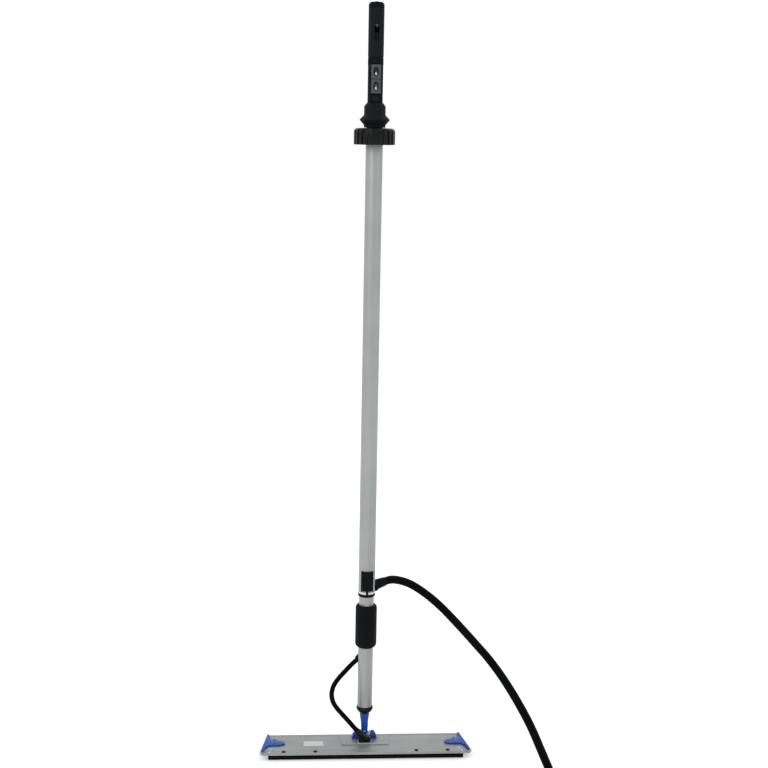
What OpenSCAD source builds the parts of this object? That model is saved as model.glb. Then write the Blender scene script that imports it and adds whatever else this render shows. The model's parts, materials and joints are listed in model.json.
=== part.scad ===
// Fluid-fed surface cleaner: flat swivel head, telescopic pole, control grip and hoses.
// Millimetres, +Z up. The origin is on the floor, straight below the pole's axis.
// The operator stands on the +Y side, and the long edge of the head points to -Y.

/* [Head] */
// Width of the head along its long front edge
head_front_w = 400; // [330:2:560]
// Width of the head along its rear edge
head_rear_w = 371; // [300:1:540]
// Distance from the pole's axis to the front edge
head_fore = 68; // [60:1:90]
// Distance from the pole's axis to the rear edge
head_aft = 18; // [16:1:30]
// Thickness of the aluminium plate
plate_t = 3; // [2:0.5:5]
// Radius of the rolled front and rear edges
rail_r = 2.4; // [2:0.1:3]
// Thickness of the rubber sole
sole_t = 9; // [8:0.5:14]
// Thickness of the hook strips under the sole
hook_t = 1.5; // [1:0.5:3]
// How far the sole stands back from the ends of the plate
sole_inset = 11; // [8:1:16]
// Diameter of the screws that hold the sole
sole_screw_d = 4; // [3:0.5:5]

/* [End clamps] */
// Length of the finger tab of each clamp lever
tab_len = 36; // [26:1:44]
// Width of the finger tab
tab_w = 26; // [22:1:34]
// Thickness of the finger tab
tab_t = 2.8; // [2:0.2:4]
// Outer diameter of the lever's hinge barrel
barrel_d = 5.2; // [4.6:0.2:6]
// Diameter of the clamp's hinge pin
clamp_pin_d = 2.4; // [2:0.1:2.8]

/* [Swivel joint] */
// Thickness of the raised centre plate
centre_t = 1.5; // [1:0.5:3]
// Diameter of both joint pins
joint_pin_d = 5; // [4:0.5:6]
// Width of the cross block between the ears
cross_w = 24.4; // [22:0.2:30]
// Thickness of each ear
ear_t = 6.5; // [5:0.5:9]
// Height of the roll pin above the pitch pin
roll_rise = 8; // [7:0.5:10]

/* [Pole] */
// Outer diameter of the lower and middle tubes
lower_od = 29; // [25:0.5:32]
// Wall of the lower and middle tubes
lower_wall = 1.5; // [1:0.1:2.5]
// Wall of the upper tube
upper_wall = 1.35; // [1:0.05:2.5]
// Height of the lower tube's bottom end above the floor
lower_bottom = 78; // [74:1:90]
// Height of the black sleeve's lower end
sleeve_bottom = 203; // [195:1:240]
// Length of the black coupling sleeve
sleeve_len = 85; // [74:1:110]
// Wall of the coupling sleeve at its ends
sleeve_wall = 6.4; // [4:0.2:8]
// Travel of the coupling sleeve
sleeve_travel = 10; // [6:1:12]
// Height of the upper tube's top end
upper_top = 1192; // [900:4:1400]

/* [Latch] */
// Width of the latch window in the upper tube
window_w = 24; // [20:1:25]
// Height of the latch window
window_h = 41; // [38:1:48]
// Angle through which the latch rocks
latch_angle = 8; // [5:1:9]

/* [Lock nut and handle] */
// Outer diameter of the lock nut over its ribs
nut_od = 77; // [60:1:90]
// Height of the lock nut
nut_h = 31; // [26:1:40]
// Number of ribs round the lock nut
nut_ribs = 20; // [12:1:28]
// Travel of the telescopic handle
handle_travel = 250; // [100:10:280]
// Least length of handle tube that stays in the pole
handle_overlap = 50; // [40:2:80]
// Diameter of the guard rim above the lock nut
guard_d = 57; // [44:1:70]
// Diameter of the grip sleeve
grip_d = 29; // [27:0.5:34]
// Length of the grip sleeve
grip_len = 89; // [80:1:160]
// Length of the control housing
control_len = 82; // [80:1:110]

/* [Hoses] */
// Outer diameter of the supply hose
supply_d = 16; // [12:1:18]
// Outer diameter of the link hose
link_d = 9.5; // [8:0.5:12]
// Diameter of the supply hose's coil at the middle of its turns
coil_d = 166; // [160:2:190]

/* [Fits] */
// Radial clearance of pins, sliding tubes and the lock nut's thread
fit = 0.08; // [0.05:0.01:0.1]
// Gap between parts that pass without touching
gap = 0.4; // [0.3:0.1:0.6]

/* [Hidden] */
$fn = 64;
eps = 0.01;

// Heights of the head's layers
plate_z = hook_t + sole_t;
plate_top = plate_z + plate_t;
centre_top = plate_top + centre_t;
head_depth = head_fore + head_aft;

// Slanted ends of the head: lean of each end and the middle of its edge
end_lean = atan2((head_front_w - head_rear_w) / 2, head_depth);
end_x = (head_front_w + head_rear_w) / 4;
end_y = (head_aft - head_fore) / 2;
end_len = head_depth / cos(end_lean);

// End clamps, in the frame of one slanted edge
barrel_x = barrel_d / 2 + gap;
barrel_z = plate_top + 0.8;
barrel_to = end_len / 2 - 5;
barrel_from = -barrel_to;
edge_to = end_len / 2 - 2 * rail_r - 2.5;
bracket_t = 3;
tab_z = plate_top + gap;
tab_shift = 5;
tab_root = 7;

// Swivel joint
pitch_z = centre_top + 8;
roll_z = pitch_z + roll_rise;
ear_in = cross_w / 2 + gap;
ear_out = ear_in + ear_t;
ear_r = 7;
cross_r = 5.6;
cheek_in = 5 + gap;
cheek_out = 9;
cheek_r = 6;
yoke_neck_d = 13;
yoke_top_d = 20;

// Inlet elbow in front of the joint
inlet_x = -1;
inlet_y = -22;
inlet_w = 23;
inlet_d = 11.5;
inlet_h = 13;
nozzle_lean = -42;
nozzle_len = 20;
nozzle_base = [-3, inlet_y, 25];
rail_bore = 4;
spray_rail_w = 8;
spray_rail_len = 2 * (head_rear_w / 2 - 40);

// Pole
lower_r = lower_od / 2;
lower_in = lower_r - lower_wall;
upper_in = lower_r + 0.15;
upper_r = upper_in + upper_wall;
cap_bottom = lower_bottom - 10;
cap_h = 14;
cap_r = lower_r + 1.9;
shank_len = 40;
rivet_z = lower_bottom + 20;
rivet_d = 4;
link_exit_z = 190;
link_exit_turn = 160;
link_exit_drop = 44;
link_wall = lower_r / cos(link_exit_drop);
link_boot = 24.4;
tube_joint_z = sleeve_bottom + sleeve_len / 2;
collar_h = 8;
collar_r = lower_r + 2.6;
sleeve_r = lower_r + sleeve_wall;
sleeve_cavity_r = collar_r + gap;
shoulder_h = 14;
spring_h = sleeve_len / 2 - collar_h / 2 - shoulder_h - gap;
spring_wire = 1.4;
ring_h = 6;
ferrule_h = 5;
ring_z = sleeve_bottom + sleeve_len + sleeve_travel + 8;
middle_top = ring_z + 290;
ferrule_z = ring_z + ring_h;
tube_z = ferrule_z + 0.5;
window_z = ferrule_z + ferrule_h;
window_top = window_z + window_h;
latch_r = upper_r + 1.8;
rocker_w = 17;
rocker_z0 = window_z + 1.6;
rocker_z1 = window_z + 27;
latch_axis_z = window_z + 15;
latch_axis_y = -(upper_r + 0.3);
latch_pin_d = 2;
rocker_sink = (rocker_z1 - latch_axis_z) * sin(latch_angle);
catch_z = window_z + 6;
catch_d = 5;

// Supply hose's gland at the side of the upper tube, behind the window
gland_turn = 31;
gland_rise = 8;
gland_z = window_z + 4;
gland_len = 42;
stub_d = supply_d - 4;

// Lock nut, collet and handle
nut_z = upper_top - 16;
nut_top = nut_z + nut_h;
nut_r = nut_od / 2;
rib_depth = 2;
rib_w = PI * nut_od / nut_ribs * 0.42;
collet_r = upper_r + 4.4;
collet_nose_r = lower_r + 3;
handle_r = upper_in - fit - 0.02;
handle_in = handle_r - lower_wall;
handle_bottom = upper_top - handle_travel - handle_overlap;
bell_z = nut_top + 0.6;
bell_top = bell_z + 46;
bell_r = lower_r + 5.6;
control_z = bell_top;
control_top = control_z + control_len;
grip_z = control_top;
grip_top = grip_z + grip_len;
grip_r = grip_d / 2;
control_r = grip_r - 0.4;
shell_t = 2.2;
core_shift = 1.6;

// Keypad
key_w = 17.6;
key_h = 26;
key_z = control_z + 16.5;
key_face_y = -(control_r + core_shift) - 0.6;
key_t = 3;
key_travel = 1.5;
bezel_w = 21;
bezel_t = 2.6;
board_y = -3.5;
board_t = 1.6;

// Slot with its slide lock, in the grip sleeve
slot_w = 8.4;
slider_h = 12;
slider_travel = 8;
slot_h = slider_h + slider_travel + 5;
slot_z = grip_z + 31;

// Supply hose: its route from the gland to the coil, then the coil on the floor
supply_route = [
    [35.7, 21.4, 326.9], [50, 29.5, 328], [66, 35.5, 324.5], [85, 39, 317.5], [105, 39.5, 306],
    [128, 36, 290], [152, 27, 270.5], [175, 13, 249.5], [196, -4, 230], [216, -24, 211.5],
    [236, -47, 193], [258, -75, 168], [281, -108, 136], [303, -145, 99], [320, -186, 61],
    [333, -230, 31], [340, -275, 13], [341, -320, 8]
];
coil_x = 250;
coil_y = -320;
coil_layers = 2;
coil_columns = 2;
connector_x = 235;
connector_y = -395;
connector_len = 48;
connector_boot = 18;
connector_d = 24;
spigot_d = 12;
spigot_len = 16;

// Link hose: its route from the lower tube to the inlet elbow
link_route = [
    [-16.5, 6, 173], [-25, 6.5, 165], [-34, 6, 155.5], [-45, 3, 144.5], [-55, -1, 134],
    [-62, -5.5, 124], [-65.5, -10, 113], [-65, -14, 102], [-61, -16.7, 92]
];
link_end_route = [
    [-60, -17.2, 90], [-52, -19, 80], [-41.5, -21, 68.5], [-31.2, -22, 57.2],
    [-23.8, -22, 48.1], [-16.9, -22, 40.4]
];

// ---------- Shared shapes ----------

// Half width of the head's plate at a place along Y
function half_w(y) = head_front_w / 2
    - (head_front_w - head_rear_w) / 2 * (y + head_fore) / head_depth;

// Outline of the head, stood back from the ends and from the long edges
module head_outline(end_in, edge_in) {
    front = -head_fore + edge_in;
    rear = head_aft - edge_in;
    polygon([
        [-half_w(front) + end_in, front], [half_w(front) - end_in, front],
        [half_w(rear) - end_in, rear], [-half_w(rear) + end_in, rear]
    ]);
}

// Puts children in the frame of one slanted end: X outwards, Y along the edge to the rear
module at_end(side) {
    mirror([side < 0 ? 1 : 0, 0, 0])
        translate([end_x, end_y, 0])
            rotate([0, 0, end_lean])
                children();
}

module rod_x(d, x0, x1) {
    translate([x0, 0, 0]) rotate([0, 90, 0]) cylinder(d = d, h = x1 - x0);
}

module rod_y(d, y0, y1) {
    translate([0, y1, 0]) rotate([90, 0, 0]) cylinder(d = d, h = y1 - y0);
}

module ring(r_out, r_in, h) {
    difference() {
        cylinder(r = r_out, h = h);
        translate([0, 0, -1]) cylinder(r = r_in, h = h + 2);
    }
}

module slab(x0, x1, y0, y1, z0, z1) {
    translate([x0, y0, z0]) cube([x1 - x0, y1 - y0, z1 - z0]);
}

// Rounded bar seen from above, with its two ends at y0 and y1
module stadium(r, y0, y1) {
    translate([0, y0]) circle(r = r);
    translate([0, y1]) circle(r = r);
    translate([-r, y0]) square([2 * r, y1 - y0]);
}

// Curve through four points, at t from the second to the third
function between(a, b, c, d, t) = 0.5 * (2 * b + (c - a) * t
    + (2 * a - 5 * b + 4 * c - d) * t * t
    + (3 * b - a - 3 * c + d) * t * t * t);

function last(v) = len(v) - 1;

function smooth_route(p, steps) = [
    for (i = [0 : last(p) - 1])
        for (s = [0 : steps - 1])
            between(p[max(i - 1, 0)], p[i], p[i + 1], p[min(i + 2, last(p))], s / steps),
    p[last(p)]
];

function unit(v) = v / norm(v);

function heading(p, i) = unit(p[min(i + 1, last(p))] - p[max(i - 1, 0)]);

// Tube along a route: side is a direction that the route never runs along
module hose(p, d, side, sides = 10) {
    rings = [
        for (i = [0 : last(p)])
            let (t = heading(p, i), u = unit(cross(side, t)), v = cross(t, u))
                for (k = [0 : sides - 1])
                    let (a = 360 * k / sides)
                        p[i] + d / 2 * (cos(a) * u + sin(a) * v)
    ];
    walls = [
        for (i = [0 : last(p) - 1])
            for (k = [0 : sides - 1])
                let (a = i * sides + k, b = i * sides + (k + 1) % sides)
                    [a, a + sides, b + sides, b]
    ];
    start = [for (k = [0 : sides - 1]) k];
    finish = [for (k = [0 : sides - 1]) last(p) * sides + sides - 1 - k];
    polyhedron(points = rings, faces = concat(walls, [start, finish]), convexity = 10);
}

// Helical spring standing on z = 0
module spring(r, wire, h, turns, per_turn = 14, sides = 6) {
    steps = turns * per_turn;
    rise = h - wire;
    path = [
        for (i = [0 : steps])
            let (a = 360 * i / per_turn)
                [r * cos(a), r * sin(a), wire / 2 + rise * i / steps]
    ];
    hose(path, wire, [0, 0, 1], sides);
}

// ---------- Head ----------

screw_x = [-159, -98, 98, 159];
screw_y = -head_fore + 2 * rail_r + 4.6;

module head_plate() color("silver") difference() {
    union() {
        translate([0, 0, plate_z]) linear_extrude(plate_t) head_outline(0, 0);
        intersection() {
            for (y = [-head_fore + rail_r, head_aft - rail_r])
                translate([0, y, plate_top - rail_r + 1.1])
                    rod_x(2 * rail_r, -head_front_w / 2, head_front_w / 2);
            translate([0, 0, plate_z]) linear_extrude(plate_t + 2 * rail_r) head_outline(0, 0);
        }
    }
    for (x = screw_x)
        translate([x, screw_y, 0]) cylinder(d = sole_screw_d + 0.4, h = 30);
    for (x = [-16, 16])
        translate([x, 0, 0]) cylinder(d = 4.4, h = 30);
    for (side = [-1, 1])
        at_end(side)
            for (p = rivet_places)
                translate([p[0], p[1], 0]) cylinder(d = 3, h = 30);
    translate([inlet_x, inlet_y, 0]) cylinder(d = 8, h = 30);
}

module centre_plate() color("silver") difference() {
    translate([0, 0, plate_top])
        linear_extrude(centre_t)
            difference() {
                union() {
                    translate([-47, -28]) square([94, 36.5]);
                    translate([-43, -32]) square([86, 44.5]);
                    for (x = [-43, 43], y = [-28, 8.5])
                        translate([x, y]) circle(r = 4);
                }
                for (x = [-16, 16])
                    translate([x, 0]) circle(d = 4.4);
                translate([inlet_x, inlet_y]) circle(d = 8);
            }
}

module sole_pad() color("black") difference() {
    translate([0, 0, hook_t]) linear_extrude(sole_t) head_outline(sole_inset, 2);
    for (x = screw_x)
        translate([x, screw_y, hook_t + 3]) cylinder(d = sole_screw_d, h = 30);
    for (x = [-16, 16])
        translate([x, 0, plate_z - 3]) cylinder(d = 9, h = 4);
    slab(-spray_rail_len / 2 - gap, spray_rail_len / 2 + gap,
        inlet_y - spray_rail_w / 2 - gap, inlet_y + spray_rail_w / 2 + gap, plate_z - 6, plate_z + 1);
    for (x = nozzle_places)
        translate([x, inlet_y, 0]) cylinder(d = 4, h = plate_z);
}

nozzle_places = [for (i = [-3 : 3]) i * spray_rail_len / 7];

module hook_strips() color("dimgray") difference() {
    intersection() {
        linear_extrude(hook_t) head_outline(sole_inset + 4, 5);
        for (y = [-head_fore + 8, -head_fore + 32, head_aft - 24])
            slab(-head_front_w / 2, head_front_w / 2, y, y + 16, 0, hook_t);
    }
    for (x = nozzle_places)
        translate([x, inlet_y, -1]) cylinder(d = 5, h = plate_z);
}

module spray_rail() color("whitesmoke") difference() {
    slab(-spray_rail_len / 2, spray_rail_len / 2, inlet_y - spray_rail_w / 2,
        inlet_y + spray_rail_w / 2, plate_z - 5.6, plate_z);
    translate([0, inlet_y, plate_z - 2.8])
        rod_x(rail_bore, -spray_rail_len / 2 + 3, spray_rail_len / 2 - 3);
    translate([inlet_x, inlet_y, plate_z - 2.8]) cylinder(d = rail_bore, h = 10);
    for (x = nozzle_places)
        translate([x, inlet_y, 0]) cylinder(d = 1.6, h = plate_z - 2.8);
}

module sole_screws() color("black")
    for (x = screw_x)
        translate([x, screw_y, 0]) {
            translate([0, 0, hook_t + 3]) cylinder(d = sole_screw_d, h = plate_top - hook_t - 3);
            translate([0, 0, plate_top]) difference() {
                cylinder(d1 = 8, d2 = 6.6, h = 1.6);
                translate([0, 0, 0.7]) cylinder(d = 3, h = 2, $fn = 6);
            }
        }

rivet_places = [[-12, -34], [-13, -21]];

module end_rivets() color("gainsboro")
    for (side = [-1, 1])
        at_end(side)
            for (p = rivet_places)
                translate([p[0], p[1], plate_z]) {
                    cylinder(d = 3, h = plate_t);
                    translate([0, 0, plate_t]) cylinder(d1 = 4.6, d2 = 3.2, h = 0.8);
                }

// ---------- End clamps ----------

module barrel(d, y0, y1) {
    translate([barrel_x, 0, barrel_z]) rod_y(d, y0, y1);
}

module clamp_brackets() color("silver")
    for (side = [-1, 1])
        at_end(side) {
            for (y = [barrel_from - bracket_t - gap, barrel_to + gap])
                difference() {
                    union() {
                        barrel(barrel_d, y, y + bracket_t);
                        slab(0, barrel_x, y, y + bracket_t, plate_z, barrel_z);
                    }
                    barrel(clamp_pin_d, y - 1, y + bracket_t + 1);
                }
            translate([0, tab_shift + tab_w / 2 + 3, 0])
                rotate([90, 0, 0])
                    linear_extrude(2)
                        polygon([[-19, plate_top], [-9, plate_top], [-13, plate_top + 5]]);
        }

module clamp_pins() color("lightgray")
    for (side = [-1, 1])
        at_end(side)
            barrel(clamp_pin_d, barrel_from - bracket_t - gap, barrel_to + bracket_t + gap);

module clamp_lever(side) color("royalblue") at_end(side) difference() {
    union() {
        barrel(barrel_d, barrel_from, barrel_to);
        translate([0, 0, tab_z]) linear_extrude(tab_t) {
            intersection() {
                translate([0, tab_shift]) {
                    resize([2 * tab_len, tab_w]) circle(d = tab_w);
                    resize([2 * tab_root, tab_w + 18]) circle(d = tab_w);
                }
                translate([-tab_len - 1, -edge_to]) square([tab_len + 1, 2 * edge_to]);
            }
            translate([-0.5, -edge_to]) square([0.5 + barrel_x, 2 * edge_to]);
        }
        for (i = [0 : 3])
            translate([-tab_len + 9 + 4 * i, tab_shift, tab_z + tab_t - 0.2]) rod_y(1.4, -6, 6);
    }
    barrel(clamp_pin_d + 2 * fit, barrel_from - 1, barrel_to + 1);
}

module clamp_lever_left() clamp_lever(-1);
module clamp_lever_right() clamp_lever(1);

// ---------- Inlet and swivel joint ----------

module nozzle_frame() {
    translate(nozzle_base) rotate([0, nozzle_lean, 0]) children();
}

module inlet_elbow() color("black") difference() {
    union() {
        slab(inlet_x - inlet_w / 2, inlet_x + inlet_w / 2, inlet_y - inlet_d / 2,
            inlet_y + inlet_d / 2, centre_top + 1, centre_top + inlet_h - 2);
        slab(inlet_x - inlet_w / 2 + 2, inlet_x + inlet_w / 2 - 2, inlet_y - inlet_d / 2 + 1,
            inlet_y + inlet_d / 2 - 1, centre_top + inlet_h - 2, centre_top + inlet_h);
        nozzle_frame() cylinder(d = link_d + 2.4, h = nozzle_len - 4);
        nozzle_frame() translate([0, 0, nozzle_len - 4])
            cylinder(d1 = link_d + 2.4, d2 = link_d + 1, h = 4);
        translate([inlet_x, inlet_y, plate_z]) cylinder(d = 7.8, h = 8);
    }
    translate([inlet_x, inlet_y, plate_z - 1]) cylinder(d = rail_bore, h = 10);
}

module inlet_gasket() color("lightgray") difference() {
    slab(inlet_x - inlet_w / 2 - 1, inlet_x + inlet_w / 2 + 1, inlet_y - inlet_d / 2 - 1,
        inlet_y + inlet_d / 2 + 0.5, centre_top, centre_top + 1);
    translate([inlet_x, inlet_y, 0]) cylinder(d = 7.8, h = 30);
}

module joint_base() color("royalblue") difference() {
    union() {
        slab(-ear_out - 4, ear_out + 4, -5, 3, centre_top, centre_top + 1.5);
        for (side = [0, 1])
            mirror([side, 0, 0]) {
                translate([0, 0, pitch_z]) rod_x(2 * ear_r, ear_in, ear_out);
                slab(ear_in, ear_out, -ear_r, ear_r, centre_top, pitch_z);
                translate([0, ear_r - 2, 0])
                    rotate([90, 0, 0])
                        linear_extrude(2 * ear_r - 4)
                            polygon([
                                [ear_out - 1, centre_top], [ear_out + 5.5, centre_top],
                                [ear_out + 5, centre_top + 3], [ear_out + 3.4, centre_top + 7.5],
                                [ear_out + 1.4, centre_top + 11], [ear_out - 1, pitch_z + ear_r - 0.8]
                            ]);
            }
    }
    translate([0, 0, pitch_z]) rod_x(joint_pin_d, -ear_out - 10, ear_out + 10);
    for (x = [-16, 16])
        translate([x, 0, 0]) cylinder(d = 4, h = centre_top + 3.5);
}

module joint_screws() color("lightgray")
    for (x = [-16, 16])
        translate([x, 0, plate_z - 2.6]) {
            cylinder(d = 8, h = 2.6);
            cylinder(d = 4, h = centre_top + 3.3 - plate_z + 2.6);
        }

module pitch_pin() color("lightgray") translate([0, 0, pitch_z]) {
    rod_x(joint_pin_d, -ear_out - 1, ear_out + 1);
}

module cross_block() color("darkgray") difference() {
    union() {
        translate([0, 0, pitch_z]) rod_x(2 * cross_r, -cross_w / 2, cross_w / 2);
        slab(-7, 7, -5, 5, pitch_z, roll_z);
        translate([0, 0, roll_z]) rod_y(2 * cheek_r, -5, 5);
    }
    translate([0, 0, pitch_z]) rod_x(joint_pin_d + 2 * fit, -cross_w, cross_w);
    translate([0, 0, roll_z]) rod_y(joint_pin_d + 2 * fit, -9, 9);
}

module roll_pin() color("lightgray") translate([0, 0, roll_z]) {
    rod_y(joint_pin_d, -cheek_out - 0.6, cheek_out + 0.6);
}

module yoke() color("royalblue") difference() {
    union() {
        for (y = [-cheek_out, cheek_in]) {
            translate([0, 0, roll_z]) rod_y(2 * cheek_r, y, y + cheek_out - cheek_in);
            slab(-cheek_r, cheek_r, y, y + cheek_out - cheek_in, roll_z, roll_z + 11);
        }
        intersection() {
            slab(-cheek_r - 0.5, cheek_r + 0.5, -cheek_out, cheek_out, roll_z + 9, cap_bottom);
            translate([0, 0, roll_z + 9])
                cylinder(r = 11, h = cap_bottom - roll_z - 9);
        }
        translate([0, 0, roll_z + 13])
            cylinder(d1 = yoke_neck_d, d2 = yoke_top_d, h = cap_bottom - roll_z - 13);
        translate([0, 0, cap_bottom - eps])
            cylinder(d = yoke_top_d, h = lower_bottom - cap_bottom + eps);
        translate([0, 0, lower_bottom])
            cylinder(r = lower_in - 0.05, h = shank_len);
    }
    translate([0, 0, roll_z]) rod_y(joint_pin_d, -20, 20);
    translate([0, 0, rivet_z]) rod_y(rivet_d, -20, 20);
}

module yoke_rivet() color("gainsboro") translate([0, 0, rivet_z]) {
    rod_y(rivet_d, -lower_r - 0.5, lower_r + 0.5);
}

module end_cap() color("black") difference() {
    rotate_extrude() polygon([
        [0, cap_bottom], [yoke_top_d / 2 + 0.6, cap_bottom], [cap_r - 1.6, cap_bottom + 5],
        [cap_r - 0.2, cap_bottom + 7.5], [cap_r, cap_bottom + 9.5], [cap_r - 0.2, cap_bottom + 11.5],
        [cap_r - 1, cap_bottom + cap_h - 0.6], [lower_r + 0.3, cap_bottom + cap_h], [0, cap_bottom + cap_h]
    ]);
    translate([0, 0, cap_bottom - 1]) cylinder(d = yoke_top_d + 0.1, h = cap_h);
    translate([0, 0, lower_bottom]) cylinder(r = lower_r + 0.05, h = cap_h);
}

// ---------- Pole ----------

module lower_tube() color("silver") difference() {
    translate([0, 0, lower_bottom]) ring(lower_r, lower_in, tube_joint_z - lower_bottom);
    translate([0, 0, rivet_z]) rod_y(rivet_d, -20, 20);
    link_exit_frame() cylinder(d = link_d + 1, h = 30);
}

// Frame of the link hose's exit: +Z runs outwards and down through the tube's wall
module link_exit_frame() {
    translate([0, 0, link_exit_z])
        rotate([0, 0, link_exit_turn])
            rotate([0, 90 + link_exit_drop, 0])
                children();
}

module link_grommet() color("black") {
    difference() {
        link_exit_frame() {
            translate([0, 0, link_wall - 8]) cylinder(d1 = link_d + 7, d2 = link_d + 4.5, h = 10);
            translate([0, 0, link_wall]) cylinder(d1 = link_d + 3.6, d2 = link_d + 1, h = link_boot - link_wall);
        }
        translate([0, 0, link_exit_z - 40]) cylinder(r = lower_r + 0.02, h = 80);
    }
    link_exit_frame() translate([0, 0, 7]) cylinder(d = link_d + 0.8, h = link_wall - 6);
}

module link_hose() color("black") hose(smooth_route(link_route, 2), link_d, [0, 1, 0.05]);

module link_hose_end() color("black") hose(smooth_route(link_end_route, 2), link_d, [0, 1, 0.05]);

module coupling_sleeve() color("black") difference() {
    translate([0, 0, sleeve_bottom])
        rotate_extrude() polygon([
            [0, 0], [lower_r + 1.5, 0], [sleeve_r - 1.2, 3.4], [sleeve_r, 7], [sleeve_r, sleeve_len - 5],
            [sleeve_r - 0.8, sleeve_len - 2.2], [sleeve_r - 2.6, sleeve_len - 0.4],
            [sleeve_r - 4, sleeve_len], [0, sleeve_len]
        ]);
    translate([0, 0, sleeve_bottom - 1]) cylinder(r = lower_r + 0.1, h = sleeve_len + 2);
    translate([0, 0, sleeve_bottom + shoulder_h])
        cylinder(r = sleeve_cavity_r, h = sleeve_len - 2 * shoulder_h);
    slab(-0.7, 0.7, -sleeve_r - 1, -sleeve_r + 0.8, sleeve_bottom + 6, sleeve_bottom + sleeve_len - 6);
}

module coupling_core() color("whitesmoke") difference() {
    translate([0, 0, tube_joint_z - 26]) cylinder(r = lower_in - 0.05, h = 52);
    translate([0, 0, tube_joint_z - 27]) cylinder(d = 12, h = 54);
    for (z = [-18, 18])
        translate([0, 0, tube_joint_z + z - 1])
            ring(lower_in + 1, lower_in - 1.4, 2);
}

module coupling_collar() color("gray")
    translate([0, 0, tube_joint_z - collar_h / 2]) ring(collar_r, lower_r + 0.02, collar_h);

module coupling_spring() color("lightgray")
    translate([0, 0, tube_joint_z - collar_h / 2 - spring_h - gap / 2])
        spring(lower_r + 0.5 + spring_wire / 2, spring_wire, spring_h, 5);

module middle_tube() color("silver") difference() {
    translate([0, 0, tube_joint_z]) ring(lower_r, lower_in, middle_top - tube_joint_z);
    translate([0, 0, catch_z]) rod_y(catch_d + 2, -20, 0);
    gland_frame() cylinder(d = stub_d + 0.4, h = 30);
}

module upper_tube() color("silver") difference() {
    translate([0, 0, tube_z]) ring(upper_r, upper_in, upper_top - tube_z);
    slab(-window_w / 2, window_w / 2, -upper_r - 5, 0, window_z, window_top);
    gland_frame() cylinder(d = stub_d + 0.4, h = 30);
}

module end_ring() color("black") {
    translate([0, 0, ring_z]) rotate_extrude() polygon([
        [lower_r + 0.05, 0], [upper_r - 0.6, 0], [upper_r + 0.9, 1.6],
        [upper_r + 0.9, ring_h], [lower_r + 0.05, ring_h]
    ]);
    intersection() {
        translate([0, 0, ring_z + ring_h - 1]) ring(upper_r + 1.1, upper_r + 0.45, ferrule_h + 3.5);
        slab(-2.3, 2.3, -upper_r - 5, 0, ring_z, window_z + 2);
    }
}

module ferrule_ring() color("white")
    translate([0, 0, ferrule_z]) difference() {
        ring(upper_r + 0.4, lower_r + 0.05, ferrule_h - 0.4);
        translate([0, 0, 0.5]) cylinder(r = upper_r + 0.02, h = ferrule_h);
    }

// ---------- Latch ----------

module arc_block(r_in, r_out, w, z0, z1) {
    intersection() {
        translate([0, 0, z0]) ring(r_out, r_in, z1 - z0);
        slab(-w / 2, w / 2, -r_out - 5, 0, z0 - 1, z1 + 1);
    }
}

module latch_housing() color("black") difference() {
    arc_block(lower_r + 0.1, latch_r, window_w - 2 * 0.1, window_z + 2.05, window_top - 0.1);
    slab(-rocker_w / 2 - gap, rocker_w / 2 + gap, -latch_r - 5, 0, rocker_z0 - 1, rocker_z1 + gap);
    translate([0, latch_axis_y, latch_axis_z]) rod_x(latch_pin_d, -20, 20);
}

module latch_lever() color("black") difference() {
    union() {
        intersection() {
            arc_block(lower_r + rocker_sink + 0.55, latch_r + 0.3, rocker_w, window_z + 2.5, rocker_z1 - gap);
            union() {
                slab(-20, 20, -latch_r - 5, 0, window_z + 2.5, latch_axis_z - 1.5);
                translate([0, 0.9, 0])
                    slab(-20, 20, -latch_r - 5, -lower_r, latch_axis_z - 3, rocker_z1);
            }
        }
        for (x = [-7.5, 4.5])
            translate([0, latch_axis_y, latch_axis_z]) rod_x(3.6, x, x + 3);
        translate([0, 0, catch_z]) rod_y(catch_d, -latch_r, -lower_r + 1.2);
    }
    translate([0, latch_axis_y, latch_axis_z]) rod_x(latch_pin_d + 2 * fit, -20, 20);
}

module latch_pin() color("lightgray")
    translate([0, latch_axis_y, latch_axis_z])
        rod_x(latch_pin_d, -window_w / 2 + 1.5, window_w / 2 - 1.5);

module latch_spring() color("lightgray")
    slab(-2.5, 2.5, -lower_r - 0.45, -lower_r - 0.15, latch_axis_z + 4, rocker_z1 + 6);

// ---------- Feed line and supply hose ----------

// Frame of the gland: +Z runs outwards and up, to the rear right
module gland_frame() {
    translate([0, 0, gland_z]) rotate([0, 0, gland_turn]) rotate([0, 90 - gland_rise, 0]) children();
}

module hose_gland() color("black") {
    difference() {
        gland_frame() {
            translate([0, 0, upper_r - 1]) cylinder(d = supply_d + 8, h = 5);
            translate([0, 0, upper_r + 4]) cylinder(d = supply_d + 5, h = 5, $fn = 6);
            translate([0, 0, upper_r + 9])
                cylinder(d1 = supply_d + 4, d2 = supply_d + 1.6, h = gland_len - upper_r - 9);
        }
        translate([0, 0, gland_z - 30]) cylinder(r = upper_r + 1.05, h = 90);
    }
    gland_frame() translate([0, 0, 8]) cylinder(d = stub_d, h = upper_r - 4);
}

module feed_pipe() color("dimgray") {
    translate([0, 0, link_exit_z - 6]) cylinder(d = 10, h = gland_z - link_exit_z + 12);
}

module supply_hose() color("black")
    hose(smooth_route(supply_route, 2), supply_d, [-0.3, -0.45, 0.84]);

module hose_coil() color("black") translate([coil_x, coil_y, 0]) rotate_extrude() {
    w = coil_columns * supply_d;
    h = coil_layers * supply_d;
    c = supply_d * 0.3;
    translate([coil_d / 2 - w / 2, 0]) polygon([
        [c, 0], [w - c, 0], [w, c], [w, h - c], [w - c, h], [c, h], [0, h - c], [0, c]
    ]);
}

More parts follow.
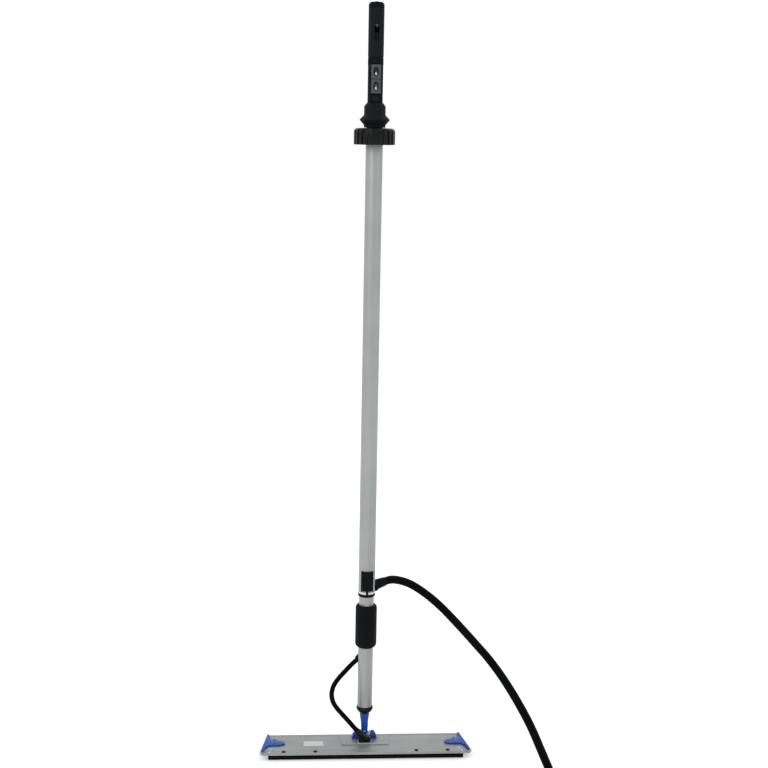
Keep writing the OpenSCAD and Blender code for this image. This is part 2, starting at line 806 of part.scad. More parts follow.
// Connector lying on the coil, with its boot on the +X side and its spigot on the -X side
module hose_connector() color("black") {
    top = coil_layers * supply_d + connector_d / 2 - 0.3;
    translate([connector_x, connector_y, top]) difference() {
        union() {
            rod_x(connector_d - 4, -connector_len / 2, connector_len / 2);
            rod_x(connector_d, -connector_len / 2 + 4, -connector_len / 2 + 18);
            translate([3, 0, 0]) rotate([0, 90, 0]) cylinder(d = connector_d, h = 12, $fn = 6);
            translate([connector_len / 2, 0, 0]) rotate([0, 90, 0])
                cylinder(d1 = supply_d + 4, d2 = supply_d + 1.4, h = connector_boot);
            rod_x(spigot_d, -connector_len / 2 - spigot_len, 0);
        }
        rod_x(7, -connector_len, -connector_len / 2 + 10);
    }
}

// ---------- Lock nut and collet ----------

module clamp_collet() color("dimgray") difference() {
    translate([0, 0, upper_top - 14]) rotate_extrude() polygon([
        [upper_r + 0.05, 0], [collet_r, 0], [collet_r, 17], [collet_nose_r, 26],
        [handle_r + fit, 26], [handle_r + fit, 14.1], [upper_r + 0.05, 14.1]
    ]);
    for (i = [0 : 2])
        rotate([0, 0, 60 * i])
            slab(-20, 20, -0.6, 0.6, upper_top + 4, upper_top + 20);
}

module lock_nut() color("black") difference() {
    translate([0, 0, nut_z]) intersection() {
        union() {
            cylinder(r = nut_r - rib_depth, h = nut_h);
            for (i = [0 : nut_ribs - 1])
                rotate([0, 0, (i + 0.5) * 360 / nut_ribs])
                    translate([0, -rib_w / 2, 0]) cube([nut_r, rib_w, nut_h]);
        }
        rotate_extrude() polygon([
            [0, 0], [nut_r - 1, 0], [nut_r, 1], [nut_r, nut_h - 6], [nut_r - 1.4, nut_h - 3],
            [nut_r - 4, nut_h - 0.8], [nut_r - 8, nut_h], [0, nut_h]
        ]);
    }
    translate([0, 0, upper_top - 14]) rotate_extrude() polygon([
        [0, -20], [collet_r + fit, -20], [collet_r + fit, 17], [collet_nose_r + 0.3, 26.3],
        [collet_nose_r + 0.3, 26.8], [handle_r + 0.6, 26.8], [handle_r + 0.6, 60], [0, 60]
    ]);
}

// ---------- Handle ----------

module handle_tube() color("silver")
    translate([0, 0, handle_bottom]) ring(handle_r, handle_in, bell_z + 20 - handle_bottom);

module bell_socket() color("black") difference() {
    translate([0, 0, bell_z]) rotate_extrude() polygon([
        [0, 0], [bell_r - 0.6, 0], [bell_r, 0.8], [bell_r, 4.5], [guard_d / 2 - 0.8, 13.2],
        [guard_d / 2, 14.2], [guard_d / 2 - 0.8, 15.4], [bell_r + 0.2, 23], [bell_r, 26], [bell_r, 38.5],
        [bell_r - 0.8, 40], [control_r + 0.6, 46], [0, 46]
    ]);
    translate([0, 0, bell_z - 1]) cylinder(r = handle_r + 0.02, h = 21);
    translate([0, 0, bell_z + 15]) cylinder(r = handle_in, h = 40);
}

// Solid form of the control housing: a round bar, a little deeper than it is wide
module housing_form(r, z0, z1) {
    translate([0, 0, z0]) linear_extrude(z1 - z0) stadium(r, -core_shift, core_shift);
}

module control_shell() {
    difference() {
        union() {
            housing_form(control_r, control_z, control_top);
            housing_form(control_r + 0.35, control_top - 13.5, control_top - 1);
        }
        housing_form(control_r - shell_t, control_z + 3, control_top - 4);
        translate([0, 0, control_z - 1]) cylinder(r = handle_in, h = 6);
        translate([0, 0, control_top - 5]) cylinder(r = 8, h = 10);
        slab(-bezel_w / 2, bezel_w / 2, -30, -6, key_z - 2.4, key_z + 2 * key_h + 2.9);
        translate([-3.5, 0, control_top - 7]) rod_y(5.2, -30, -6);
        for (z = [control_z + 9, control_top - 7])
            translate([0, 0, z]) rod_y(3, 0, 30);
        translate([0, key_face_y, control_z + 9])
            rotate([-38, 0, 0])
                slab(-7, 7, -14, -0.5, -8, 4);
    }
}

module control_front() color([0.13, 0.14, 0.15]) intersection() {
    control_shell();
    slab(-40, 40, -40, 0, control_z - 1, control_top + 1);
}

module control_rear() color([0.13, 0.14, 0.15]) intersection() {
    control_shell();
    slab(-40, 40, 0, 40, control_z - 1, control_top + 1);
}

module keypad_bezel() color([0.2, 0.21, 0.22]) difference() {
    intersection() {
        slab(-bezel_w / 2 + 0.1, bezel_w / 2 - 0.1, key_face_y, key_face_y + bezel_t + 5,
            key_z - 2.3, key_z + 2 * key_h + 2.8);
        housing_form(control_r + 0.5, control_z, control_top);
    }
    for (i = [0, 1])
        slab(-key_w / 2 - 0.1, key_w / 2 + 0.1, -40, 0,
            key_z + i * (key_h + 0.5) - 0.1, key_z + i * (key_h + 0.5) + key_h + 0.1 - 0.2);
}

module key(i) color([0.27, 0.28, 0.29]) {
    z = key_z + i * (key_h + 0.5);
    slab(-key_w / 2, key_w / 2, key_face_y - 0.5, key_face_y + key_t, z + 0.1, z + key_h - 0.3);
    translate([0, 0, z + key_h / 2]) rod_y(5, key_face_y + key_t - 1, board_y - 5.2 + 0.2 - key_travel);
    translate([0, key_face_y - 0.45, z + 8]) rotate([90, 0, 0]) linear_extrude(0.5) union() {
        circle(r = 2.2);
        if (i == 1) polygon([[-2.2, 0.4], [2.2, 0.4], [0, 9]]);
        if (i == 0) polygon([[-3, 2], [3, 2], [3, 9], [-3, 9]]);
    }
}

module button_upper() key(1);
module button_lower() key(0);

module switch_board() color("darkgreen")
    slab(-8, 8, board_y, board_y + board_t, key_z - 1, key_z + 2 * key_h + 2);

module micro_switches() color("dimgray")
    for (i = [0, 1]) {
        z = key_z + i * (key_h + 0.5) + key_h / 2;
        slab(-3.5, 3.5, board_y - 4, board_y, z - 4, z + 4);
        translate([0, 0, z]) rod_y(3, board_y - 5, board_y - 4);
    }

module switch_lead() color("black") {
    translate([0, board_y + board_t + 2.5, handle_bottom + 4])
        cylinder(d = 4.5, h = key_z + 6 - handle_bottom - 4);
    translate([0, board_y + board_t + 2.5, handle_bottom - 18]) cylinder(d = 9, h = 22);
}

module status_lens() color("gray")
    translate([-3.5, 0, control_top - 7])
        rod_y(5, -control_r - core_shift - 0.9, -control_r - core_shift + 4);

module grip_screws() color("gray")
    for (z = [control_z + 9, control_top - 7])
        translate([0, 0, z]) difference() {
            union() {
                rod_y(3, 4, control_r + core_shift);
                rod_y(5.6, control_r + core_shift + 0.35, control_r + core_shift + 1.2);
                rod_y(3, 8, control_r + core_shift + 0.4);
            }
            rod_y(2, control_r + core_shift + 0.6, 30);
        }

module grip_sleeve() color("black") difference() {
    union() {
        housing_form(grip_r, grip_z + 1.2, grip_top);
        housing_form(grip_r - 0.8, grip_z, grip_z + 1.3);
        translate([0, 0, control_top - 4]) cylinder(r = 7.9, h = 6);
    }
    housing_form(grip_r - 3, grip_z + 4, grip_top + 1);
    translate([0, 0, slot_z]) slab(-slot_w / 2, slot_w / 2, -30, 0, 0, slot_h);
}

module slide_lock() color("dimgray") {
    slab(-slot_w / 2 + 0.3, slot_w / 2 - 0.3, -grip_r - core_shift + 0.6, -grip_r + 4.6,
        slot_z + 0.3, slot_z + 0.3 + slider_h);
    slab(-slot_w / 2 - 1.5, slot_w / 2 + 1.5, -grip_r + 3, -grip_r + 4.6, slot_z - 2, slot_z + slider_h + 3);
}

module grip_cap() color("black") {
    housing_form(grip_r, grip_top, grip_top + 7);
    translate([0, 0, grip_top + 7]) linear_extrude(2.6) stadium(grip_r - 1, -core_shift, core_shift);
    translate([0, 0, grip_top + 9.6]) linear_extrude(1.4) stadium(grip_r - 3, -core_shift, core_shift);
    translate([0, 0, grip_top + 11]) cylinder(r = 4, h = 1.4);
    housing_form(grip_r - 3.1, grip_top - 8, grip_top + 1);
}

head_plate();
centre_plate();
sole_pad();
hook_strips();
spray_rail();
sole_screws();
end_rivets();
clamp_brackets();
clamp_pins();
clamp_lever_left();
clamp_lever_right();
inlet_elbow();
inlet_gasket();
joint_base();
joint_screws();
pitch_pin();
cross_block();
roll_pin();
yoke();
yoke_rivet();
end_cap();
lower_tube();
link_grommet();
link_hose();
link_hose_end();
coupling_sleeve();
coupling_core();
coupling_collar();
coupling_spring();
middle_tube();
end_ring();
ferrule_ring();
upper_tube();
latch_housing();
latch_lever();
latch_pin();
latch_spring();
hose_gland();
feed_pipe();
supply_hose();
hose_coil();
hose_connector();
clamp_collet();
lock_nut();
handle_tube();
bell_socket();
control_front();
control_rear();
keypad_bezel();
button_upper();
button_lower();
switch_board();
micro_switches();
switch_lead();
status_lens();
grip_screws();
grip_sleeve();
slide_lock();
grip_cap();
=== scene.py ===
import json
import math

import bmesh
import bpy
from mathutils import Matrix, Vector


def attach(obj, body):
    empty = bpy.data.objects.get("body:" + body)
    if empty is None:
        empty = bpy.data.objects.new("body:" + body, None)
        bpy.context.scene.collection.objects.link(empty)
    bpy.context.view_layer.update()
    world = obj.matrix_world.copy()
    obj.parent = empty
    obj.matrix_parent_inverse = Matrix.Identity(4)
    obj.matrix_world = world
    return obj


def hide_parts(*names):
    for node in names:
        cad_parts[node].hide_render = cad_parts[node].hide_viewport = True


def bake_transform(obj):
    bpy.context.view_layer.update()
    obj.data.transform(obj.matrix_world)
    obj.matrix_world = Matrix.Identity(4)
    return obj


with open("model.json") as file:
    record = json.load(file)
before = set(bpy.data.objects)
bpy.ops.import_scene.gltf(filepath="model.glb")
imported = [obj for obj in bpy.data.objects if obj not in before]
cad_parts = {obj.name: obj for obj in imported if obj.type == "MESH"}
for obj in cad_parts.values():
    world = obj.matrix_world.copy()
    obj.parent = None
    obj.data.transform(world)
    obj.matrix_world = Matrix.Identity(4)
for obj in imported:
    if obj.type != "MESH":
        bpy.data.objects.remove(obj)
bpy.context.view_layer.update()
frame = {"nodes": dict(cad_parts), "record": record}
nodes = frame["nodes"]
scene = bpy.context.scene
MM = 0.001


def mm(*values):
    return Vector(values) * MM


def placed(obj):
    scene.collection.objects.link(obj)
    return obj


# ---------- Camera ----------

CAMERA_YAW = math.radians(-4.0)
CAMERA_PITCH = math.radians(8.0)
CAMERA_ROLL = math.radians(0.99)
CAMERA_DISTANCE = 2.65
CAMERA_HEIGHT = 1.2


def make_camera():
    data = bpy.data.cameras.new("studio_camera")
    data.sensor_width = 36.0
    data.lens = 66.17
    data.shift_x = 0.0168
    data.shift_y = -0.0701
    data.clip_end = 60.0
    camera = placed(bpy.data.objects.new("studio_camera", data))
    yaw, pitch = CAMERA_YAW, CAMERA_PITCH
    forward = Vector((
        -math.sin(yaw) * math.cos(pitch), math.cos(yaw) * math.cos(pitch), -math.sin(pitch)
    ))
    level = Vector((math.cos(yaw), math.sin(yaw), 0.0))
    up = level.cross(forward)
    right = level * math.cos(CAMERA_ROLL) + up * math.sin(CAMERA_ROLL)
    top = up * math.cos(CAMERA_ROLL) - level * math.sin(CAMERA_ROLL)
    turn = Matrix((right, top, -forward)).transposed().to_4x4()
    place = Vector((
        CAMERA_DISTANCE * math.sin(yaw), -CAMERA_DISTANCE * math.cos(yaw), CAMERA_HEIGHT
    ))
    camera.matrix_world = Matrix.Translation(place) @ turn
    scene.camera = camera


make_camera()
scene.view_settings.view_transform = "Standard"

# ---------- Finishes ----------


class Finish:
    """A material whose tone, gloss and grain come from noise in the piece's own coordinates."""

    def __init__(self, name):
        self.material = bpy.data.materials.new(name)
        self.material.use_nodes = True
        self.tree = self.material.node_tree
        self.shader = self.tree.nodes["Principled BSDF"]
        self.place = self.tree.nodes.new("ShaderNodeTexCoord").outputs["Object"]

    def join(self, out, into):
        self.tree.links.new(out, into)

    def stretched(self, scale):
        mapping = self.tree.nodes.new("ShaderNodeMapping")
        mapping.inputs["Scale"].default_value = scale
        self.join(self.place, mapping.inputs["Vector"])
        return mapping.outputs["Vector"]

    def noise(self, vector, scale, detail=3.0, rough=0.55):
        node = self.tree.nodes.new("ShaderNodeTexNoise")
        node.inputs["Scale"].default_value = scale
        node.inputs["Detail"].default_value = detail
        node.inputs["Roughness"].default_value = rough
        self.join(vector, node.inputs["Vector"])
        return node.outputs["Fac"]

    def spread(self, value, low, high, start=0.3, stop=0.7):
        node = self.tree.nodes.new("ShaderNodeMapRange")
        node.inputs["From Min"].default_value = start
        node.inputs["From Max"].default_value = stop
        node.inputs["To Min"].default_value = low
        node.inputs["To Max"].default_value = high
        self.join(value, node.inputs["Value"])
        return node.outputs["Result"]

    def tones(self, value, dark, light, start=0.3, stop=0.7):
        ramp = self.tree.nodes.new("ShaderNodeValToRGB")
        ramp.color_ramp.elements[0].position = start
        ramp.color_ramp.elements[0].color = (*dark, 1)
        ramp.color_ramp.elements[1].position = stop
        ramp.color_ramp.elements[1].color = (*light, 1)
        self.join(value, ramp.inputs["Fac"])
        return ramp.outputs["Color"]

    def colour(self, out):
        self.join(out, self.shader.inputs["Base Color"])

    def gloss(self, out):
        self.join(out, self.shader.inputs["Roughness"])

    def bump(self, heights, depth, strength=1.0):
        normal = None
        for height in heights:
            node = self.tree.nodes.new("ShaderNodeBump")
            node.inputs["Strength"].default_value = strength
            node.inputs["Distance"].default_value = depth
            self.join(height, node.inputs["Height"])
            if normal:
                self.join(normal, node.inputs["Normal"])
            normal = node.outputs["Normal"]
        self.join(normal, self.shader.inputs["Normal"])

    def set(self, **values):
        for key, value in values.items():
            self.shader.inputs[key.replace("_", " ")].default_value = value
        return self


def metal(name, dark, light, rough, streaks, metallic=1.0):
    """Drawn, brushed or turned metal: streaks is the stretch of its grain along X, Y and Z."""
    f = Finish(name)
    grain = f.noise(f.stretched(streaks), 900.0, 4.0, 0.6)
    wide = f.noise(f.stretched(streaks), 120.0, 2.0)
    cloud = f.noise(f.place, 14.0, 3.0)
    f.colour(f.tones(cloud, dark, light))
    f.gloss(f.spread(wide, rough - 0.05, rough + 0.07))
    f.bump([grain, wide], 0.00002, 0.5)
    return f.set(Metallic=metallic).material


def moulded(name, dark, light, rough, texture=1400.0, depth=0.00004, shine=0.25):
    """Moulded plastic or rubber with a fine eroded texture and a trace of handling."""
    f = Finish(name)
    fine = f.noise(f.place, texture, 2.0, 0.5)
    smear = f.noise(f.stretched((1.0, 1.0, 0.35)), 45.0, 4.0, 0.6)
    cloud = f.noise(f.place, 11.0, 3.0)
    f.colour(f.tones(cloud, dark, light))
    f.gloss(f.spread(smear, rough - 0.06, rough + 0.08))
    f.bump([fine], depth, 0.6)
    return f.set(Specular_IOR_Level=shine).material


def pile(name, dark, light):
    """Dense hook pile: short hook stalks in rows, the stalks lighter and the gaps between them
    darker as painted shade.
    """
    f = Finish(name)
    cells = f.tree.nodes.new("ShaderNodeTexVoronoi")
    cells.inputs["Scale"].default_value = 1100.0
    f.join(f.place, cells.inputs["Vector"])
    stem_height_and_shade = f.spread(cells.outputs["Distance"], 1.0, 0.0, 0.0, 0.6)
    # The height mask also sets the colour: darker between the stalks, as painted shade in the gaps.
    f.colour(f.tones(stem_height_and_shade, dark, light, 0.1, 0.9))
    f.bump([stem_height_and_shade], 0.0006, 0.9)
    return f.set(Roughness=0.9, Sheen_Weight=0.4, Sheen_Roughness=0.4).material


ALONG_Z = (1.0, 1.0, 0.012)
ALONG_X = (0.012, 1.0, 1.0)
EVEN = (1.0, 1.0, 1.0)

FINISHES = {
    "brushed_plate": metal(
        "brushed_plate", (0.27, 0.285, 0.285), (0.31, 0.325, 0.322), 0.5, ALONG_X, 0.6
    ),
    "anodised_tube": metal(
        "anodised_tube", (0.31, 0.32, 0.32), (0.35, 0.36, 0.36), 0.45, ALONG_Z, 0.6
    ),
    "blue_plastic": moulded("blue_plastic", (0.003, 0.052, 0.28), (0.006, 0.07, 0.36), 0.36),
    "black_plastic": moulded(
        "black_plastic", (0.003, 0.0037, 0.0042), (0.005, 0.006, 0.0067), 0.5, shine=0.04
    ),
    "gloss_black": moulded(
        "gloss_black", (0.003, 0.0034, 0.0038), (0.004, 0.0045, 0.005),
        0.24, 900.0, 0.000005, shine=0.16
    ),
    "sole_rubber": moulded(
        "sole_rubber", (0.002, 0.002, 0.0023), (0.004, 0.004, 0.0045),
        0.72, 700.0, 0.00012, shine=0.06
    ),
    "grip_rubber": moulded(
        "grip_rubber", (0.006, 0.0078, 0.0084), (0.0085, 0.0105, 0.0115),
        0.5, 800.0, 0.0001, shine=0.05
    ),
    "hose_rubber": moulded(
        "hose_rubber", (0.001, 0.0015, 0.002), (0.0025, 0.003, 0.004),
        0.42, 500.0, 0.00004, shine=0.03
    ),
    "hook_tape": pile("hook_tape", (0.012, 0.012, 0.013), (0.06, 0.06, 0.063)),
    "key_plastic": moulded("key_plastic", (0.05, 0.053, 0.056), (0.07, 0.074, 0.078), 0.5),
    "steel": metal("steel", (0.50, 0.50, 0.51), (0.62, 0.62, 0.63), 0.3, EVEN),
    "black_steel": metal("black_steel", (0.012, 0.012, 0.013), (0.03, 0.03, 0.032), 0.42, EVEN),
    "cast_zinc": metal("cast_zinc", (0.36, 0.36, 0.36), (0.48, 0.48, 0.47), 0.5, EVEN),
    "polished_steel": metal("polished_steel", (0.55, 0.55, 0.55), (0.62, 0.62, 0.62), 0.35, EVEN),
    "natural_plastic": moulded("natural_plastic", (0.62, 0.62, 0.59), (0.72, 0.72, 0.69), 0.45),
    "grey_gasket": moulded("grey_gasket", (0.50, 0.50, 0.50), (0.58, 0.58, 0.58), 0.6),
    "board_green": moulded("board_green", (0.01, 0.08, 0.03), (0.02, 0.12, 0.05), 0.4),
}
SLOT_OF = {row["node"]: row["material_slot"] for row in frame["record"]["subparts"]}
BODY_OF = {n: body for body, names in frame["record"]["behaviour"]["bodies"].items() for n in names}

for node, obj in nodes.items():
    obj.data.materials.clear()
    obj.data.materials.append(FINISHES[SLOT_OF[node]])

# ---------- Making pieces ----------


def finished(bm, name, finish, smooth=35.0):
    """Turns a bmesh into an object with its finish; edges sharper than the angle stay sharp."""
    mesh = bpy.data.meshes.new(name)
    bm.to_mesh(mesh)
    bm.free()
    mesh.materials.append(FINISHES[finish])
    mesh.shade_smooth()
    mesh.set_sharp_from_angle(angle=math.radians(smooth))
    obj = placed(bpy.data.objects.new(name, mesh))
    return obj


def settled(obj, body, *replaced):
    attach(obj, body)
    if replaced:
        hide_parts(*replaced)
    return obj


def soften(bm, width, sharp_angle=33.0, segments=2):
    sharp = [
        e for e in bm.edges
        if e.is_manifold and e.calc_face_angle(0.0) > math.radians(sharp_angle)
    ]
    if sharp:
        bmesh.ops.bevel(
            bm, geom=sharp, offset=width, offset_type="OFFSET", segments=segments, profile=0.5,
            affect="EDGES", material=-1, clamp_overlap=True
        )


def copy_of(node):
    """The node's own surface, joined up, with its flat faces made whole."""
    bm = bmesh.new()
    bm.from_mesh(nodes[node].data)
    bmesh.ops.remove_doubles(bm, verts=bm.verts, dist=0.000002)
    bmesh.ops.dissolve_limit(
        bm, angle_limit=math.radians(0.6), use_dissolve_boundaries=False,
        verts=bm.verts, edges=bm.edges, delimit={"NORMAL"}
    )
    return bm


def dressed(node, width, segments=2, finish=None):
    """A rounded copy of the node, in its own finish, that stands for it."""
    bm = copy_of(node)
    soften(bm, width * MM, segments=segments)
    obj = finished(bm, node + "_skin", finish or SLOT_OF[node])
    return settled(obj, BODY_OF[node], node)


# ---------- Cords ----------


def between(a, b, c, d, t):
    return 0.5 * (
        2 * b + (c - a) * t + (2 * a - 5 * b + 4 * c - d) * t * t + (3 * b - a - 3 * c + d) * t ** 3
    )


def smooth_route(points, steps):
    points = [Vector(p) * MM for p in points]
    last = len(points) - 1
    route = []
    for i in range(last):
        around = (points[max(i - 1, 0)], points[i], points[i + 1], points[min(i + 2, last)])
        route += [between(*around, s / steps) for s in range(steps)]
    return route + [points[last]]


def hose(name, route, diameter, finish="hose_rubber", sides=5):
    """A tube along the route, made as a round curve and turned into a mesh."""
    curve = bpy.data.curves.new(name + "_line", "CURVE")
    curve.dimensions = "3D"
    curve.bevel_depth = diameter / 2
    curve.bevel_resolution = sides
    curve.use_fill_caps = True
    spline = curve.splines.new("POLY")
    spline.points.add(len(route) - 1)
    for point, co in zip(spline.points, route):
        point.co = (*co, 1.0)
    shape = placed(bpy.data.objects.new(name + "_line", curve))
    bpy.context.view_layer.update()
    depsgraph = bpy.context.evaluated_depsgraph_get()
    mesh = bpy.data.meshes.new_from_object(shape.evaluated_get(depsgraph))
    bpy.data.objects.remove(shape)
    bm = bmesh.new()
    bm.from_mesh(mesh)
    bpy.data.meshes.remove(mesh)
    bmesh.ops.remove_doubles(bm, verts=bm.verts, dist=0.000002)
    bmesh.ops.recalc_face_normals(bm, faces=bm.faces)
    return finished(bm, name, finish, 50.0)


SUPPLY_D = 0.016
LINK_D = 0.0095
SUPPLY_ROUTE = [
    (35.7, 21.4, 326.9), (50, 29.5, 328), (66, 35.5, 324.5), (85, 39, 317.5), (105, 39.5, 306),
    (128, 36, 290), (152, 27, 270.5), (175, 13, 249.5), (196, -4, 230), (216, -24, 211.5),
    (236, -47, 193), (258, -75, 168), (281, -108, 136), (303, -145, 99), (320, -186, 61),
    (333, -230, 31), (340, -275, 13), (341, -320, 8),
]
LINK_ROUTE = [
    (-16.5, 6, 173), (-25, 6.5, 165), (-34, 6, 155.5), (-45, 3, 144.5), (-55, -1, 134),
    (-62, -5.5, 124), (-65.5, -10, 113), (-65, -14, 102), (-60.5, -17, 91), (-52, -19, 80),
    (-41.5, -21, 68.5), (-31.2, -22, 57.2), (-23.8, -22, 48.1), (-16.7, -22, 40.2),
]
LINK_SPLIT = 8
LINK_STEPS = 5
COIL_CENTRE = (250.0, -320.0)
COIL_OUTER = 91.0
COIL_INNER = 75.0
COIL_LAYERS = (8.0, 24.0, 40.0)
CONNECTOR_END = (277.0, -395.0, 43.7)
TAIL_BEND = 64.0


# Degrees of winding over which the hose changes its turn or its layer, and where the coil ends
TO_INNER_TURN = (300, 360)
TO_SECOND_LAYER = (590, 660)
TO_OUTER_TURN = (900, 960)
TO_THIRD_LAYER = (1185, 1265)
COIL_STEP = 6
COIL_END = 1456


def eased(value, start, stop, low, high):
    t = min(max((value - start) / (stop - start), 0.0), 1.0)
    return low + (high - low) * t * t * (3 - 2 * t)


def coil_point(turned):
    """Place on the coil after so many degrees, wound clockwise as seen from above."""
    r = eased(turned, *TO_INNER_TURN, COIL_OUTER, COIL_INNER)
    r += eased(turned, *TO_OUTER_TURN, 0.0, COIL_OUTER - COIL_INNER)
    z = eased(turned, *TO_SECOND_LAYER, COIL_LAYERS[0], COIL_LAYERS[1])
    z += eased(turned, *TO_THIRD_LAYER, 0.0, COIL_LAYERS[2] - COIL_LAYERS[1])
    a = math.radians(-turned)
    return (COIL_CENTRE[0] + r * math.cos(a), COIL_CENTRE[1] + r * math.sin(a), z)


def tail_points():
    """From the top of the coil round into the connector's boot, level at the end."""
    x, y, z = CONNECTOR_END
    rows = []
    for degrees in range(-16, -90, -6):
        a = math.radians(degrees)
        rise = eased(degrees, -16, -80, COIL_LAYERS[2], z)
        rows.append((x + TAIL_BEND * math.cos(a), y + TAIL_BEND + TAIL_BEND * math.sin(a), rise))
    return rows + [(x, y, z), (x - 6, y, z)]


supply_line = smooth_route(SUPPLY_ROUTE, 4)
supply_line += [mm(*coil_point(t)) for t in range(COIL_STEP, COIL_END, COIL_STEP)]
supply_line += smooth_route([coil_point(COIL_END), *tail_points()], 2)[1:]
supply = hose("supply_hose_tube", supply_line, SUPPLY_D)

link_line = smooth_route(LINK_ROUTE, LINK_STEPS)
link_upper = link_line[:LINK_SPLIT * LINK_STEPS + 1]
link_lower = link_line[LINK_SPLIT * LINK_STEPS:]
link = hose("link_hose_tube", link_upper, LINK_D)
link_end = hose("link_hose_end_tube", link_lower, LINK_D)


connector = dressed("hose_connector", 0.5)
gland = dressed("hose_gland", 0.5)

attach(supply, "pole")
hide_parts("supply_hose", "hose_coil")
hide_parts("link_hose")
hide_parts("link_hose_end")
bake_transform(link)
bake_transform(link_end)

# ---------- Studio ----------


FLOOR_GLOW = 0.24
AIR_BEHIND = 0.88
AIR_AHEAD = 1.03


def make_studio():
    bm = bmesh.new()
    bmesh.ops.create_grid(bm, x_segments=2, y_segments=2, size=30.0)
    mesh = bpy.data.meshes.new("studio_floor")
    bm.to_mesh(mesh)
    bm.free()
    f = Finish("studio_paper")
    f.colour(f.tones(f.noise(f.place, 3.0), (0.90, 0.90, 0.90), (0.92, 0.92, 0.92)))
    f.set(
        Roughness=0.85, Specular_IOR_Level=0.1, Emission_Color=(1, 1, 1, 1),
        Emission_Strength=FLOOR_GLOW
    )
    mesh.materials.append(f.material)
    placed(bpy.data.objects.new("studio_floor", mesh))

    world = bpy.data.worlds.new("studio_air")
    world.use_nodes = True
    air = world.node_tree
    air.nodes["Background"].inputs["Color"].default_value = (1.0, 1.0, 1.0, 1)
    parts = air.nodes.new("ShaderNodeSeparateXYZ")
    depth = air.nodes.new("ShaderNodeMapRange")
    for key, value in (
        ("From Min", -0.5), ("From Max", 0.25), ("To Min", AIR_BEHIND), ("To Max", AIR_AHEAD)
    ):
        depth.inputs[key].default_value = value
    air.links.new(air.nodes.new("ShaderNodeTexCoord").outputs["Generated"], parts.inputs["Vector"])
    air.links.new(parts.outputs["Y"], depth.inputs["Value"])
    air.links.new(depth.outputs["Result"], air.nodes["Background"].inputs["Strength"])
    scene.world = world

    for name, place, aim, size, power in (
        ("key_light", (-2.2, -2.6, 2.8), (0, 0, 0.7), (0.9, 1.8), 24.0),
        ("fill_light", (2.6, -1.8, 1.8), (0, 0, 0.7), (0.6, 2.0), 3.5),
        ("back_light", (0.6, 2.8, 2.6), (0, 0, 0.6), (2.0, 2.0), 5.0),
    ):
        data = bpy.data.lights.new(name, "AREA")
        data.shape = "RECTANGLE"
        data.size, data.size_y = size
        data.energy = power
        light = placed(bpy.data.objects.new(name, data))
        light.location = place
        light.rotation_euler = (Vector(aim) - Vector(place)).to_track_quat("-Z", "Y").to_euler()


make_studio()

# ---------- Rounded copies of the machine's pieces ----------

ROUNDED = {
    "centre_plate": 0.5, "clamp_brackets": 0.3, "sole_screws": 0.25, "end_rivets": 0.2,
    "clamp_pins": 0.2, "clamp_lever_left": 0.6, "clamp_lever_right": 0.6, "inlet_elbow": 0.7,
    "inlet_gasket": 0.25, "joint_base": 0.9, "joint_screws": 0.25, "pitch_pin": 0.4,
    "cross_block": 0.6, "roll_pin": 0.4, "yoke": 1.0, "yoke_rivet": 0.3, "end_cap": 0.3,
    "lower_tube": 0.2, "middle_tube": 0.2, "upper_tube": 0.25, "link_grommet": 0.5,
    "coupling_sleeve": 0.3, "coupling_collar": 0.3, "end_ring": 0.35, "ferrule_ring": 0.25,
    "latch_housing": 0.3, "latch_lever": 0.35, "latch_pin": 0.15, "clamp_collet": 0.3,
    "lock_nut": 0.6, "handle_tube": 0.25, "bell_socket": 0.3, "control_front": 0.3,
    "control_rear": 0.3, "keypad_bezel": 0.3, "button_upper": 0.35, "button_lower": 0.35,
    "status_lens": 0.5, "grip_screws": 0.2, "grip_sleeve": 0.4, "slide_lock": 0.3,
    "grip_cap": 0.8, "head_plate": 0.6, "sole_pad": 2.0,
}
MATCHED = {
    "latch_pin": "black_steel", "yoke_rivet": "anodised_tube", "bell_socket": "grip_rubber"
}
for node, width in ROUNDED.items():
    dressed(node, width, finish=MATCHED.get(node))

# ---------- Small pieces on the grip and the head ----------


def corners_of(node):
    rows = [nodes[node].matrix_world @ v.co for v in nodes[node].data.vertices]
    return (
        Vector(min(r[i] for r in rows) for i in range(3)),
        Vector(max(r[i] for r in rows) for i in range(3)),
    )


def stacked(name, body, finish, outlines):
    """A closed form skinned over outlines of equally many points, capped at both ends."""
    bm = bmesh.new()
    rows = [[bm.verts.new(p) for p in outline] for outline in outlines]
    for low, high in zip(rows, rows[1:]):
        for i in range(len(low)):
            j = (i + 1) % len(low)
            bm.faces.new((low[i], low[j], high[j], high[i]))
    bm.faces.new(rows[0][::-1])
    bm.faces.new(rows[-1])
    bmesh.ops.recalc_face_normals(bm, faces=bm.faces)
    return settled(finished(bm, name, finish), body)


def oval(centre, half_w, half_h, out, count=40):
    """An upright oval facing -Y, standing out from the centre by so much."""
    return [
        centre + mm(half_w * math.cos(a), -out, half_h * math.sin(a))
        for a in (2 * math.pi * i / count for i in range(count))
    ]


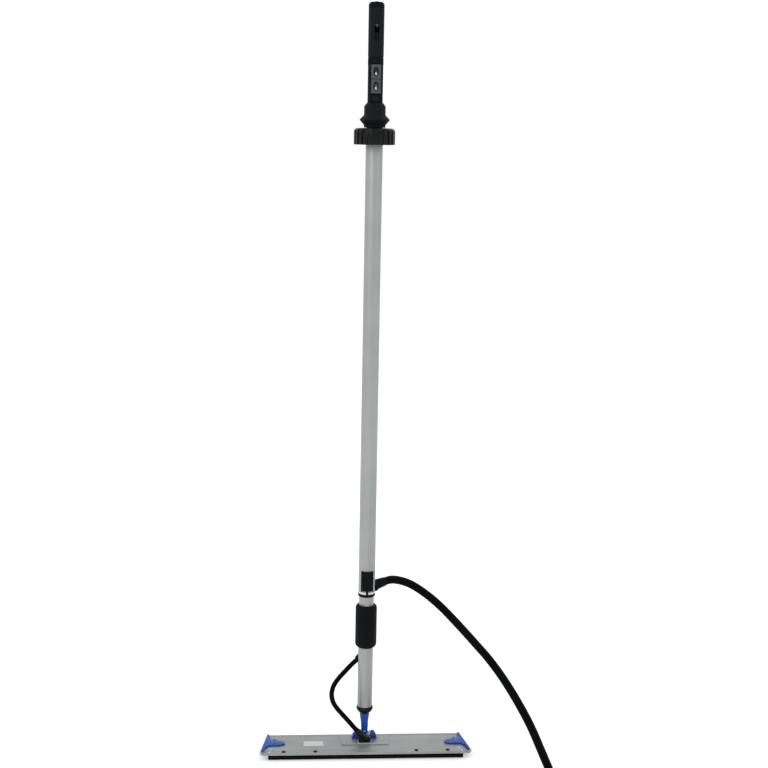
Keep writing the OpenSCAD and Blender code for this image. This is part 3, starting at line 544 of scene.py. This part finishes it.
def key_dish(node, body):
    low, high = corners_of(node)
    centre = Vector(((low.x + high.x) / 2, low.y, (low.z + high.z) / 2))
    # The dish's black is painted shade, standing for the shaded hollow of the key face.
    stacked(node + "_dish", body, "gloss_black", [
        oval(centre, 5.0, 8.6, -0.4), oval(centre, 5.0, 8.6, 0.15), oval(centre, 4.7, 8.3, 0.45),
        oval(centre, 4.2, 7.8, 0.45), oval(centre, 3.6, 7.2, 0.1), oval(centre, 1.5, 3.5, -0.1),
    ])
    # A small light dome low in the dish: a painted highlight of the hollow key face.
    painted_glint = centre + mm(0, 0, -3.8)
    stacked(node + "_painted_glint", body, "cast_zinc", [
        oval(painted_glint, 2.0, 2.9, -0.3), oval(painted_glint, 2.0, 2.9, 0.2), oval(painted_glint, 1.5, 2.4, 0.55),
        oval(painted_glint, 0.7, 1.2, 0.7),
    ])


key_dish("button_upper", "upper_key")
key_dish("button_lower", "lower_key")


def front_marks():
    """The dark oval under the keys, its black painted shade for a recess, and the small light
    triangle over the slide lock's slot, a painted glint.
    """
    low, high = corners_of("keypad_bezel")
    face = corners_of("control_front")[0].y
    under = Vector(((low.x + high.x) / 2, face + 0.4 * MM, low.z - 6.5 * MM))
    # A raised gloss-black oval whose black is painted shade, standing for a recess under the keys.
    stacked("recess_painted_shade", "handle", "gloss_black", [
        oval(under, 6.5, 5.2, 0.0), oval(under, 6.3, 5.0, 0.8), oval(under, 5.6, 4.4, 1.0),
        oval(under, 4.6, 3.5, 0.7), oval(under, 2.0, 1.5, 0.6),
    ])
    low, high = corners_of("slide_lock")
    tip = Vector((0.0, corners_of("grip_sleeve")[0].y + 0.3 * MM, high.z + 10 * MM))
    # A small light triangle over the slot: a painted glint.
    stacked("slot_painted_glint", "handle", "key_plastic", [
        [tip + mm(x * s, -out, z * s) for x, z in ((-2.6, 3.0), (0.0, -2.6), (2.6, 3.0))]
        for s, out in ((1.0, 0.0), (1.0, 0.45), (0.7, 0.65))
    ])


front_marks()


def rounded_outline(x0, x1, y0, y1, radius, z, turn=8):
    rows = []
    for cx, cy, start in (
        (x1 - radius, y1 - radius, 0), (x0 + radius, y1 - radius, 90),
        (x0 + radius, y0 + radius, 180), (x1 - radius, y0 + radius, 270),
    ):
        for i in range(turn + 1):
            a = math.radians(start + 90 * i / turn)
            rows.append(mm(cx + radius * math.cos(a), cy + radius * math.sin(a), z))
    return rows


LABEL = (-120.0, -81.0, -34.0, -12.0)
LABEL_EASE = 0.3
plate_top = corners_of("centre_plate")[0].z / MM
x0, x1, y0, y1 = LABEL
stacked("blank_label", "head", "grey_gasket", [
    rounded_outline(*LABEL, 4.0, plate_top - 0.1),
    rounded_outline(*LABEL, 4.0, plate_top + 0.2),
    rounded_outline(
        x0 + LABEL_EASE, x1 - LABEL_EASE, y0 + LABEL_EASE, y1 - LABEL_EASE, 3.8, plate_top + 0.3
    ),
])
